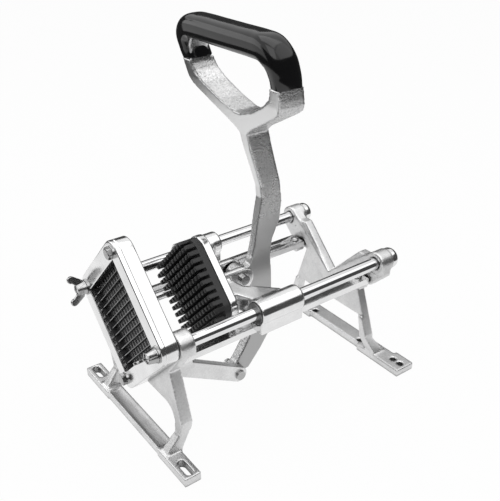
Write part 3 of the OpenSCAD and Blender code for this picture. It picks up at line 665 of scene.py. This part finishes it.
def lathe_x(profile: np.ndarray, centre: tuple[float, float], segments: int = 96) -> np.ndarray:
    """Turns a profile about a line along X.

    Point(i, t) = (x_i, y0 + r_i cos t, z0 + r_i sin t).

    Args:
        profile: rows of x and radius, in metres.
        centre: y and z of the line.
        segments: points round each ring.

    Returns:
        The grid of points.
    """
    turn = np.linspace(0.0, 2 * math.pi, segments, endpoint=False)
    x = np.repeat(profile[:, :1], segments, axis=1)
    y = centre[0] + profile[:, 1:] * np.cos(turn)
    z = centre[1] + profile[:, 1:] * np.sin(turn)
    return np.stack([x, y, z], -1)


def on_corner(x: np.ndarray, a: np.ndarray, b: np.ndarray) -> np.ndarray:
    """Stands a square on its corner: a and b become y = (a - b) / sqrt 2 and z = axis + (a + b) / sqrt 2."""
    return np.stack([x + 0 * a, (a - b) * ROOT_HALF, AXIS_Z + (a + b) * ROOT_HALF], -1)


def square_ring(side: float, radius: float) -> np.ndarray:
    """Points round a square with rounded corners, the same number for every size.

    Each quarter is a straight run from -h to h at a = side / 2, with h = side / 2 - radius, and then an arc of
    that radius about (h, h).

    Args:
        side: the square's side.
        radius: its corner radius.

    Returns:
        The points as rows of a and b.
    """
    straight, arc = 12, 8
    h = side / 2 - radius
    run = np.linspace(-h, h, straight)
    turn = np.linspace(0, math.pi / 2, arc + 2)[1:-1]
    a = np.concatenate([np.full(straight, side / 2), h + radius * np.cos(turn)])
    b = np.concatenate([run, h + radius * np.sin(turn)])
    quarters = [(a, b), (-b, a), (-a, -b), (b, -a)]
    return np.concatenate([np.stack(q, -1) for q in quarters])


def square_plate(section: Section) -> np.ndarray:
    """Carries a section round the square on its corner, with one rounded square for each of its points.

    Args:
        section: the x, the side and the corner radius of each square.

    Returns:
        The grid of points.
    """
    x = np.array([point[0] for point in section])[:, None]
    flat = np.stack([square_ring(side, radius) for _, side, radius in section])
    return on_corner(x, flat[..., 0], flat[..., 1])


def smooth_path(points: np.ndarray, count: int) -> np.ndarray:
    """Runs a Catmull-Rom curve through points.

    Each span is the cubic whose end slopes are half the chord from one neighbour to the next, and the curve is
    sampled evenly in its parameter.

    Args:
        points: rows of values, one row for each point.
        count: rows in the result.

    Returns:
        The sampled rows.
    """
    p = np.concatenate([2 * points[:1] - points[1:2], points, 2 * points[-1:] - points[-2:-1]])
    t = np.linspace(0, len(points) - 1 - 1e-9, count)
    k = t.astype(int)
    f = (t - k)[:, None]
    p0, p1, p2, p3 = p[k], p[k + 1], p[k + 2], p[k + 3]
    square, cube = 2 * p0 - 5 * p1 + 4 * p2 - p3, 3 * p1 - p0 - 3 * p2 + p3
    return 0.5 * (2 * p1 + (p2 - p0) * f + square * f**2 + cube * f**3)


# -------- the cutter's sub-assemblies
@dataclass
class BladeHead:
    """The bezel, the blade housing, the corner bolts and what shows of the knives and their bars."""

    outer: float = OPENING + 2 * 15.75 * MM
    corner: float = 15 * MM
    hole_corner: float = 0.5 * MM
    front: float = -8.5 * MM
    seam: float = -4.5 * MM
    seam_break: float = 0.6 * MM
    back: float = 8 * MM
    pocket: float = 5.2 * MM
    lip: float = 2 * MM
    round: float = 1.4 * MM
    chamfer: float = 0.7 * MM
    face_chamfer: float = 0.5 * MM
    bolt_rise: float = CORNER_REACH + 6.6 * MM
    bolt_flats: float = 10 * MM
    bolt_height: float = 4 * MM
    bolt_r: float = 3 * MM
    bolt_end: float = 3 * MM
    washer: float = 1.2 * MM

    def rim(self, x: float, sign: float) -> Section:
        """A quarter-round edge: the side grows by 2 r sin t while x falls back by r (1 - cos t).

        Args:
            x: the place of the face that the rim starts from.
            sign: 1 where the piece lies behind that face, -1 where it lies in front.

        Returns:
            The section's points, from the face to the outer side.
        """
        turn = np.linspace(0, math.pi / 2, 6)
        fall, short = self.round * (1 - np.cos(turn)), self.round * (1 - np.sin(turn))
        return list(zip(x + sign * fall, self.outer - 2 * short, self.corner - short))

    def bezel(self) -> np.ndarray:
        """The front plate: chamfered opening, flat face, quarter-round rim and a small break at the seam.

        Returns:
            The grid of points.
        """
        small, inset = self.seam_break, self.round + 1.5 * MM
        hole = [(self.seam, 0.0), (self.front + self.chamfer, 0.0), (self.front, self.face_chamfer),
                (self.front, self.round)]
        section = [(x, OPENING + 2 * wider, self.hole_corner) for x, wider in hole]
        section += [(self.front, self.outer - 2 * inset, self.corner - inset)]
        section += self.rim(self.front, 1.0)
        section += [(self.seam - small, self.outer, self.corner)]
        section += [(self.seam, self.outer - 2 * small, self.corner - small)]
        return square_plate(section)

    def housing(self) -> np.ndarray:
        """The housing: a pocket for the clamp bars, a lip behind them and a quarter-round back rim.

        Returns:
            The grid of points.
        """
        small, step = self.seam_break, self.back - self.lip
        section = [(self.seam, self.outer - 2 * small, self.corner - small)]
        section += [(self.seam + small, self.outer, self.corner)]
        section += self.rim(self.back, -1.0)[::-1]
        hole = [(self.back, self.chamfer), (self.back - self.chamfer, 0.0), (step, 0.0), (step, self.pocket),
                (self.seam, self.pocket)]
        section += [(x, OPENING + 2 * wider, self.hole_corner) for x, wider in hole]
        return square_plate(section)

    def hex_head(self, seat: float) -> np.ndarray:
        """A hexagon head that stands forward of its seat, with its corners turned off by a cone.

        The ring's radius is the smaller of the hexagon's, r / cos(t mod 60 - 30), and a circle's, where r is
        half the width across flats and the circle is a share of it that shrinks towards both faces.

        Args:
            seat: the place of its seat along X.

        Returns:
            The grid, about the X axis through the origin.
        """
        height_and_circle = np.array([[0.0, 0.98], [0.06, 1.14], [0.1, 1.2], [0.8, 1.2], [0.9, 1.1],
                                      [0.97, 1.0], [1.0, 0.94], [1.0, 0.6], [1.0, 0.2]])
        turn = np.linspace(0, 2 * math.pi, 72, endpoint=False)
        six = self.bolt_flats / 2 / np.cos(np.mod(turn, math.pi / 3) - math.pi / 6)
        radius = np.minimum(six, self.bolt_flats / 2 * height_and_circle[:, 1:])
        x = seat - height_and_circle[:, :1] * self.bolt_height
        return np.stack([x + 0 * radius, radius * np.cos(turn), radius * np.sin(turn)], -1)

    def build(self, shop: Workshop) -> None:
        """Makes the head's pieces and dresses the nodes that stay.

        Args:
            shop: the workshop.
        """
        bezel = shop.surface("bezel_plate", self.bezel(), wrap_rows=True)
        shop.dress(bezel, Slot.POLISHED, Body.FRAME, "bezel")
        housing = shop.surface("blade_body", self.housing(), wrap_rows=True)
        shop.dress(housing, Slot.POLISHED, Body.FRAME, "blade_housing")
        seat, end = self.front - self.washer, self.back + self.bolt_end
        profile = np.array([[seat, self.bolt_r], [end, self.bolt_r], [end, self.bolt_r - 0.4 * MM]])
        for side, name in ((-1, "lower"), (1, "upper")):
            z = AXIS_Z + side * self.bolt_rise
            head = shop.surface(f"bolt_head_{name}", self.hex_head(seat) + [0, 0, z])
            shop.dress(head, Slot.FASTENER, Body.FRAME, "bezel_bolts")
            shank = shop.surface(f"bolt_shank_{name}", lathe_x(profile, (0.0, z)))
            shop.dress(shank, Slot.FASTENER, Body.FRAME)
        shop.keep(Slot.BLADE, "knives_front")
        shop.keep(Look.PAINTED_SHADE_REAR_KNIFE, "knives_rear")
        shop.keep(Slot.BAR, "clamp_bars")
        shop.keep(Slot.FASTENER, "bolt_washers", "wing_washers")


@dataclass
class GuideWay:
    """The rods with their threaded ends and domed caps, the wing nuts and the flat rails."""

    y: float = CORNER_REACH + 6.9 * MM
    stud_front: float = -17.5 * MM
    seat: float = -9.7 * MM
    shoulder: float = 12 * MM
    back: float = 253.5 * MM
    stud_r: float = 4 * MM
    stud_tip_r: float = 3 * MM
    rod_r: float = 6 * MM
    front_chamfer: float = 0.5 * MM
    back_chamfer: float = 0.4 * MM
    end_band: float = 8 * MM
    pitch: float = 1.25 * MM
    thread_depth: float = 0.62 * MM
    thread_rows: int = 74
    segments: int = 64
    cap_r: float = 10.5 * MM
    cap_l: float = 9.5 * MM
    cap_wall: float = 3.4 * MM
    cap_power: float = 0.55
    nut_skin: float = 0.3 * MM
    nut_rounds: int = 9
    rail_break: float = 0.6 * MM

    def rod(self, y: float) -> np.ndarray:
        """A rod: a threaded stud, a plain stud, the bar and its chamfers.

        In the thread the radius is r - d (1 - cos(2 pi x / pitch - t)) / 2, so the crest is a helix.

        Args:
            y: the rod's place across.

        Returns:
            The grid of points.
        """
        thread = np.linspace(self.stud_front + 0.6 * MM, self.seat + 0.4 * MM, self.thread_rows)
        start = np.array([[self.stud_front, 0.5 * MM], [self.stud_front, self.stud_tip_r]])
        bar = np.array([
            [self.seat + 0.9 * MM, self.stud_r], [self.shoulder, self.stud_r],
            [self.shoulder, self.rod_r - self.front_chamfer], [self.shoulder + self.front_chamfer, self.rod_r],
            [self.shoulder + self.end_band, self.rod_r], [self.back - self.end_band, self.rod_r],
            [self.back - self.back_chamfer, self.rod_r], [self.back, self.rod_r - self.back_chamfer],
        ])
        profile = np.concatenate([start, np.stack([thread, np.full_like(thread, self.stud_r)], -1), bar])
        grid = lathe_x(profile, (y, AXIS_Z), self.segments)
        turn = np.linspace(0, 2 * math.pi, self.segments, endpoint=False)
        cut = self.thread_depth / 2 * (1 - np.cos(2 * math.pi * thread[:, None] / self.pitch - turn))
        threaded = grid[len(start):len(start) + len(thread), :, 1:]
        axis = np.array([y, AXIS_Z])
        threaded[...] = axis + (threaded - axis) * (1 - cut / self.stud_r)[..., None]
        return grid

    def cap(self, y: float) -> np.ndarray:
        """A domed cap: a short straight wall w, then x = w + h sin t and r = R cos(t) raised to a power.

        Args:
            y: the rod's place across.

        Returns:
            The grid of points.
        """
        turn = np.linspace(0, math.pi / 2 * 0.97, 22)
        dome = np.stack([self.back + self.cap_wall + (self.cap_l - self.cap_wall) * np.sin(turn),
                         self.cap_r * np.cos(turn) ** self.cap_power], -1)
        foot = np.array([[self.back, self.cap_r - 0.5 * MM], [self.back + 0.4 * MM, self.cap_r]])
        return lathe_x(np.concatenate([foot, dome]), (y, AXIS_Z))

    def build(self, shop: Workshop) -> None:
        """Makes the rods, caps, wing nuts and rails.

        Args:
            shop: the workshop.
        """
        for name, sign, body in (("near", -1, Body.NEAR_NUT), ("far", 1, Body.FAR_NUT)):
            rod = shop.surface(f"guide_rod_{name}", self.rod(sign * self.y))
            shop.dress(rod, Slot.CHROME, Body.FRAME, f"rod_{name}")
            cap = shop.surface(f"domed_cap_{name}", self.cap(sign * self.y))
            shop.dress(cap, Slot.POLISHED, Body.FRAME, "rod_caps")
            nut = shop.cast_copy(f"winged_nut_{name}", f"wing_nut_{name}", self.nut_skin, self.nut_rounds)
            shop.dress(nut, Slot.FASTENER, body, f"wing_nut_{name}")
            rail = shop.bevel_copy(f"flat_rail_{name}", f"rail_{name}", self.rail_break)
            shop.dress(rail, Slot.POLISHED, Body.FRAME, f"rail_{name}")
        shop.keep(Slot.FASTENER, "rail_screws")


@dataclass
class Stands:
    """The two cast stands."""

    skin: float = 1.0 * MM
    rounds: int = 8

    def build(self, shop: Workshop) -> None:
        """Gives both stands a casting's edges.

        Args:
            shop: the workshop.
        """
        for name in ("front", "rear"):
            stand = shop.cast_copy(f"cast_stand_{name}", f"{name}_stand", self.skin, self.rounds)
            shop.dress(stand, Slot.CAST, Body.FRAME, f"{name}_stand")


@dataclass
class Carriage:
    """The sliding carriage with its bushes, the black fingered pusher and the pin through its ears."""

    skin: float = 0.9 * MM
    rounds: int = 6
    pitch: float = 7 * MM
    cells: int = 12
    finger: float = 4.4 * MM
    finger_front: float = 59.3 * MM
    block_front: float = 69 * MM
    block_back: float = 75.5 * MM
    corner: float = 13 * MM

    @property
    def side(self) -> float:
        """The side of the square that the fingers and their base plate fill."""
        return (self.cells - 1) * self.pitch + self.finger

    def corner_pull(self, a: np.ndarray, b: np.ndarray) -> tuple[np.ndarray, np.ndarray]:
        """Draws points outside the rounded square onto it.

        Past the arc's centre h, a point moves to h + (p - h) r / |p - h| where that is shorter.

        Args:
            a: places along one side.
            b: places along the other.

        Returns:
            The places drawn in.
        """
        h = self.side / 2 - self.corner
        da, db = np.maximum(np.abs(a) - h, 0), np.maximum(np.abs(b) - h, 0)
        share = np.minimum(1.0, self.corner / np.maximum(np.hypot(da, db), 1e-9))
        drawn_a = np.sign(a) * (np.minimum(np.abs(a), h) + da * share)
        drawn_b = np.sign(b) * (np.minimum(np.abs(b), h) + db * share)
        return drawn_a, drawn_b

    def fingers(self) -> tuple[np.ndarray, list[list[int]]]:
        """The grid of fingers: each is a square bar, slightly drawn in and chamfered at its tip.

        Ring k of a finger lies at x_k with half width w_k, and its eight points break the corners.

        Returns:
            The points of all the fingers and their faces.
        """
        ring = np.array([[1, -0.75], [1, 0.75], [0.75, 1], [-0.75, 1],
                         [-1, 0.75], [-1, -0.75], [-0.75, -1], [0.75, -1]])
        x = np.array([self.block_front + 0.4 * MM, self.finger_front + 2.2 * MM, self.finger_front + 0.5 * MM,
                      self.finger_front])
        width = self.finger / 2 * np.array([1, 0.97, 0.92, 0.7])
        place = (np.arange(self.cells) - (self.cells - 1) / 2) * self.pitch
        ca, cb = np.meshgrid(place, place, indexing="ij")
        h = self.side / 2 - self.corner
        past = np.hypot(np.maximum(np.abs(ca) - h, 0), np.maximum(np.abs(cb) - h, 0))
        inside = past < self.corner + 0.3 * self.pitch
        a = ca[inside][:, None, None] + width[None, :, None] * ring[None, None, :, 0]
        b = cb[inside][:, None, None] + width[None, :, None] * ring[None, None, :, 1]
        a, b = self.corner_pull(a, b)
        points = on_corner(x[None, :, None], a, b).reshape(-1, 3)
        index = np.arange(len(points)).reshape(-1, len(x), len(ring))
        after = np.roll(index, -1, axis=2)
        quads = np.stack([index[:, :-1], after[:, :-1], after[:, 1:], index[:, 1:]], -1).reshape(-1, 4)
        return points, quads.tolist() + index[:, -1].tolist() + index[:, 0, ::-1].tolist()

    def block(self) -> np.ndarray:
        """The pusher's base plate: rounded squares with a small round at the front edge.

        Returns:
            The grid of points.
        """
        insets = [(self.block_front, 0.8 * MM), (self.block_front + 0.25 * MM, 0.25 * MM),
                  (self.block_front + 0.8 * MM, 0.0), (self.block_back - 0.3 * MM, 0.0),
                  (self.block_back, 0.3 * MM)]
        return square_plate([(x, self.side - 2 * inset, self.corner - inset) for x, inset in insets])

    def build(self, shop: Workshop) -> None:
        """Makes the carriage's casting and the pusher.

        Args:
            shop: the workshop.
        """
        casting = shop.cast_copy("carriage_casting", "carriage", self.skin, self.rounds)
        shop.dress(casting, Slot.POLISHED, Body.CARRIAGE, "carriage")
        fingers = shop.solid("pusher_fingers", *self.fingers())
        shop.dress(fingers, Slot.PUSHER, Body.CARRIAGE, "pusher_block")
        shop.dress(shop.surface("pusher_base", self.block()), Slot.PUSHER, Body.CARRIAGE)
        shop.keep(Slot.BUSH, "bushes")
        shop.keep(Slot.FASTENER, "pusher_screws", "clevis_pin", "clevis_clip")


@dataclass
class LeverArm:
    """The cast lever, its gloss grip and the link to the front stand."""

    skin: float = 0.9 * MM
    rounds: int = 10
    arm_half: float = 6.2 * MM
    stem_half: float = 4.96 * MM
    taper_low: float = 92 * MM
    taper_high: float = 137 * MM
    taper_past: float = 6 * MM
    grip_end: float = 320 * MM
    grip_top: float = 362 * MM
    grip_fullness: float = 0.72
    link_skin: float = 0.7 * MM
    link_rounds: int = 5

    def grip(self) -> np.ndarray:
        """The grip: a rounded section carried along the top of the hand loop.

        Point(s, t) = C(s) + a(s) c n + b(s) s d, where C is the smooth centre line, n its normal in the
        loop's plane, d the depth along X, and c and s are cos t and sin t with their size raised to the
        fullness, which fills the section towards its corners. The centre line's far half mirrors its near one.

        Returns:
            The grid of points.
        """
        place_and_reach = np.array([
            [125.4, -63.8, 320.0, 8.1, 13.5], [122.5, -65.0, 330.0, 8.6, 13.7],
            [119.0, -63.0, 341.5, 10.2, 13.8], [117.3, -54.0, 349.6, 10.9, 13.8],
            [117.1, -40.0, 351.0, 10.9, 13.8], [117.1, -14.0, 351.0, 10.9, 13.8],
        ]) * MM
        line = np.concatenate([place_and_reach, place_and_reach[::-1] * [1, -1, 1, 1, 1]])
        path = smooth_path(line, 150)
        path[[0, -1], 3:] *= 0.93
        centre, in_plane, depth = path[:, None, :3], path[:, 3, None, None], path[:, 4, None]
        run = np.gradient(path[:, 1:3], axis=0)
        run /= np.linalg.norm(run, axis=1, keepdims=True)
        normal = np.stack([np.zeros(len(run)), -run[:, 1], run[:, 0]], -1)
        turn = np.linspace(0, 2 * math.pi, 72, endpoint=False)
        c, s = (np.sign(v) * np.abs(v) ** self.grip_fullness for v in (np.cos(turn), np.sin(turn)))
        grid = centre + in_plane * c[None, :, None] * normal[:, None, :]
        grid[..., 0] += depth * s
        grid[..., 2] = np.clip(grid[..., 2], self.grip_end, self.grip_top)
        return grid

    def taper(self, mesh: bpy.types.Mesh) -> None:
        """Draws the lower arm's sides in to the thinner stem, where the casting has no step.

        With t from 0 at the low height to 1 at the high one, the half thickness is
        arm - (arm - stem) t t (3 - 2 t), and points outside it come in to it.

        Args:
            mesh: the lever's mesh, whose points are moved.
        """
        points = np.empty(len(mesh.vertices) * 3, dtype=np.float32)
        mesh.vertices.foreach_get("co", points)
        points = points.reshape(-1, 3)
        height = points[:, 2]
        t = np.clip((height - self.taper_low) / (self.taper_high - self.taper_low), 0, 1)
        half = self.arm_half - (self.arm_half - self.stem_half) * t * t * (3 - 2 * t)
        drawn = (height > self.taper_low) & (height < self.taper_high + self.taper_past)
        points[drawn, 1] = np.clip(points[drawn, 1], -half[drawn], half[drawn])
        mesh.vertices.foreach_set("co", points.reshape(-1))
        mesh.update()

    def build(self, shop: Workshop) -> None:
        """Makes the lever, its grip and the link.

        Args:
            shop: the workshop.
        """
        arm = shop.cast_copy("lever_casting", "lever", self.skin, self.rounds)
        self.taper(arm.data)
        shop.dress(arm, Slot.CAST, Body.LEVER, "lever", look=Look.LEVER)
        shop.dress(shop.surface("moulded_grip", self.grip()), Slot.GRIP, Body.LEVER, "grip")
        link = shop.cast_copy("link_casting", "link_bar", self.link_skin, self.link_rounds)
        shop.dress(link, Slot.CAST, Body.LINK, "link_bar")
        shop.keep(Slot.FASTENER, "foot_pin", "link_pin", "link_bolt", "link_nut")


# -------- the studio
@dataclass(frozen=True)
class SoftLamp:
    """A soft rectangular lamp: its place and size in metres and its power in watts."""

    name: str
    place: Triple
    size: tuple[float, float]
    power: float

    def hang(self, aim: Triple) -> None:
        """Adds the lamp to the scene, facing a point.

        Args:
            aim: the point.
        """
        data = bpy.data.lights.new(self.name, "AREA")
        data.shape, data.energy = "RECTANGLE", self.power
        data.size, data.size_y = self.size
        obj = put(self.name, data)
        obj.location = self.place
        obj.rotation_euler = (Vector(aim) - Vector(self.place)).to_track_quat("-Z", "Y").to_euler()


@dataclass
class Studio:
    """The pale floor, the dark surround of painted shade, the soft lights and the camera at the photograph's
    place.

    Each of the cone's rims is a radius and a height, and its window lies between two directions in degrees.
    """

    eye: Triple = (-0.2298, -0.5019, 0.4834)
    yaw: float = 54.04
    pitch: float = 28.67
    roll: float = -0.72
    lens: float = 52.80
    aim: Triple = (0.11, 0.0, 0.15)
    lamps: tuple[SoftLamp, ...] = (
        SoftLamp("key_light", (-0.5, -0.75, 1.25), (1.1, 1.1), 4.0),
        SoftLamp("top_light", (0.25, 0.1, 1.4), (1.2, 0.9), 4.0),
        SoftLamp("side_light", (0.85, -0.8, 0.95), (1.2, 1.2), 2.0),
        SoftLamp("rim_light", (-0.85, 1.0, 0.75), (1.2, 0.9), 3.0),
    )
    floor_half: float = 4.0
    cone_x: float = 0.12
    cone_rims: tuple[tuple[float, float], ...] = ((0.5, 0.002), (0.62, 0.15), (1.2, 0.85))
    surround_shade_tone: float = 0.07
    window: tuple[float, float] = (112.0, 165.0)

    def camera(self) -> None:
        """Sets the camera: forward is (cos yaw cos pitch, sin yaw cos pitch, -sin pitch), then it rolls."""
        yaw, pitch, roll = (math.radians(v) for v in (self.yaw, self.pitch, self.roll))
        forward = Vector((math.cos(yaw) * math.cos(pitch), math.sin(yaw) * math.cos(pitch), -math.sin(pitch)))
        level = Vector((math.sin(yaw), -math.cos(yaw), 0.0))
        right = level * math.cos(roll) + level.cross(forward) * math.sin(roll)
        up = right.cross(forward)
        data = bpy.data.cameras.new("photo_camera")
        data.sensor_fit, data.sensor_width, data.lens = "HORIZONTAL", 36.0, self.lens
        data.clip_start, data.clip_end = 0.01, 20.0
        obj = put("photo_camera", data)
        columns = (right, up, -forward, Vector(self.eye))
        obj.matrix_world = Matrix((*zip(*columns), (0, 0, 0, 1)))
        bpy.context.scene.camera = obj

    def surround(self) -> None:
        """Sets a dark cone round the pale floor, which only reflections see: a faintly glowing sheet of
        painted shade that stands in for an unlit studio.

        Point(i, t) = (x0 + r_i cos t, r_i sin t, z_i), from a low inner rim to a high outer one, and its upper
        part is left open on the far left, as a window.
        """
        count = 72
        turn = np.linspace(0, 2 * math.pi, count, endpoint=False)
        rims = np.array(self.cone_rims)
        grid = np.stack([self.cone_x + rims[:, :1] * np.cos(turn), rims[:, :1] * np.sin(turn),
                         np.repeat(rims[:, 1:], count, axis=1)], -1)
        index = np.arange(count)
        after = np.roll(index, -1)
        ring = np.stack([index, after, after + count, index + count], -1)
        opened = (np.degrees(turn) > self.window[0]) & (np.degrees(turn) < self.window[1])
        faces = np.concatenate([ring, ring[~opened] + count])
        mesh = bpy.data.meshes.new("painted_shade_surround")
        mesh.from_pydata(grid.reshape(-1, 3).tolist(), [], faces.tolist())
        obj = put("painted_shade_surround", mesh)
        material = bpy.data.materials.new("painted_shade_surround")
        sheet = NodeSheet.blank(material)
        # painted shade: a faint grey glow that only reflections see
        dark = sheet.add("Emission", Color=(*grey(self.surround_shade_tone), 1), Strength=1.0)
        sheet.add("OutputMaterial", Surface=dark.outputs[0])
        obj.data.materials.append(material)
        obj.visible_camera = obj.visible_shadow = obj.visible_diffuse = False

    def floor(self) -> None:
        """Lays a wide pale floor that looks white to the camera and to reflections and keeps a soft shadow."""
        half = self.floor_half
        square = [(-half, -half, 0), (half, -half, 0), (half, half, 0), (-half, half, 0)]
        mesh = bpy.data.meshes.new("floor")
        mesh.from_pydata(square, [], [[0, 1, 2, 3]])
        obj = put("floor", mesh)
        material = bpy.data.materials.new("pale_floor")
        sheet = NodeSheet.blank(material)
        matt = sheet.add("BsdfDiffuse", Color=(*grey(0.95), 1)).outputs[0]
        white = sheet.add("Emission", Color=(1, 1, 1, 1), Strength=1.0).outputs[0]
        share = sheet.math("MULTIPLY", sheet.seen(), 0.96)
        blend = sheet.add("MixShader", i0=share, i1=matt, i2=white)
        sheet.add("OutputMaterial", Surface=blend.outputs[0])
        obj.data.materials.append(material)

    def world(self) -> None:
        """Sets a plain grey surround that looks white to the camera and to reflections."""
        world = bpy.data.worlds.new("studio")
        sheet = NodeSheet.blank(world)
        strength = sheet.spread(sheet.seen(), 0.0, 1.0, 0.45, 1.0)
        backdrop = sheet.add("Background", Color=(1, 1, 1, 1), Strength=strength)
        sheet.add("OutputWorld", Surface=backdrop.outputs[0])
        bpy.context.scene.world = world

    def build(self) -> None:
        """Sets up the whole studio."""
        self.camera()
        self.floor()
        self.world()
        for lamp in self.lamps:
            lamp.hang(self.aim)
        self.surround()
        bpy.context.scene.view_settings.view_transform = "Standard"


def main() -> None:
    logging.basicConfig(level=logging.INFO, format="%(name)s: %(message)s")
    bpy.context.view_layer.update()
    Studio().build()
    shop = Workshop()
    for assembly in (BladeHead(), GuideWay(), Stands(), Carriage(), LeverArm()):
        assembly.build(shop)


if __name__ == "__main__":
    main()
